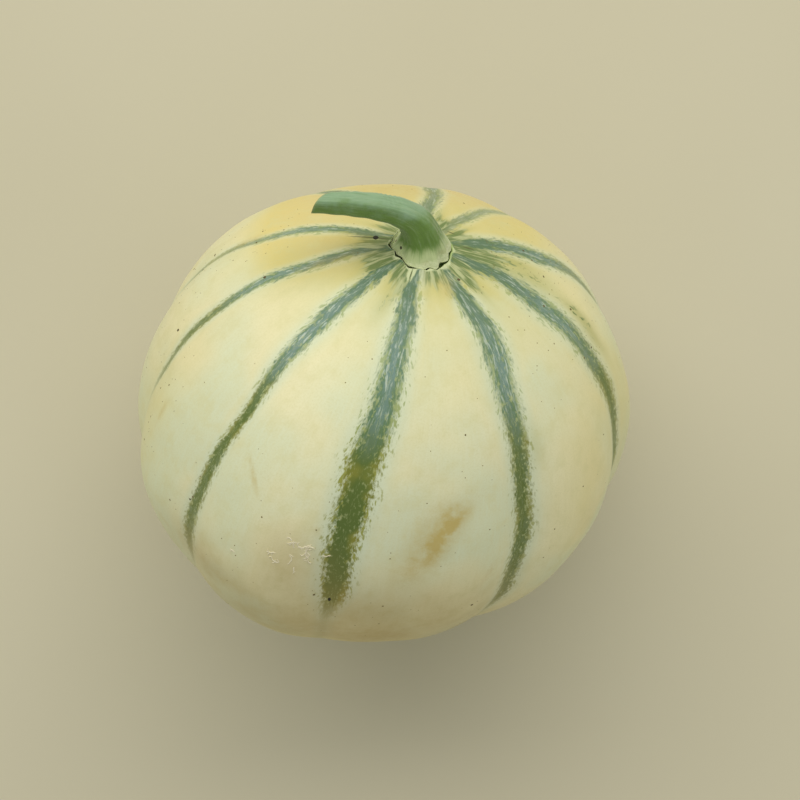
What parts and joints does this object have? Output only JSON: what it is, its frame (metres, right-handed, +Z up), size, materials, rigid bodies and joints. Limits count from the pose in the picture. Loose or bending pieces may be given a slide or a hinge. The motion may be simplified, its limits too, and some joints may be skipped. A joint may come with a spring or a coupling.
{
  "type": "cantaloupe melon",
  "caption": "Small round ribbed cantaloupe with pale rind, green stripes in its grooves and a bent cut stem, lying tilted on a flat ground spot.",
  "frame": {"origin": "on the ground, in the flat spot that the fruit rests on", "axes": "+Z up; +Y the way the stem end leans back; +X to the right of someone facing the fruit's front"},
  "size_m": [0.1198, 0.1111, 0.1143],
  "materials": {
    "rind": "smooth waxy melon rind, pale cream green with blue-green and olive stripes in the grooves",
    "stem": "fresh green melon stalk, satin, with short fine hairs and a paler flared foot"
  },
  "bodies": {
    "root": {"melon_fruit": "rind", "stem": "stem"}
  },
  "joints": []
}
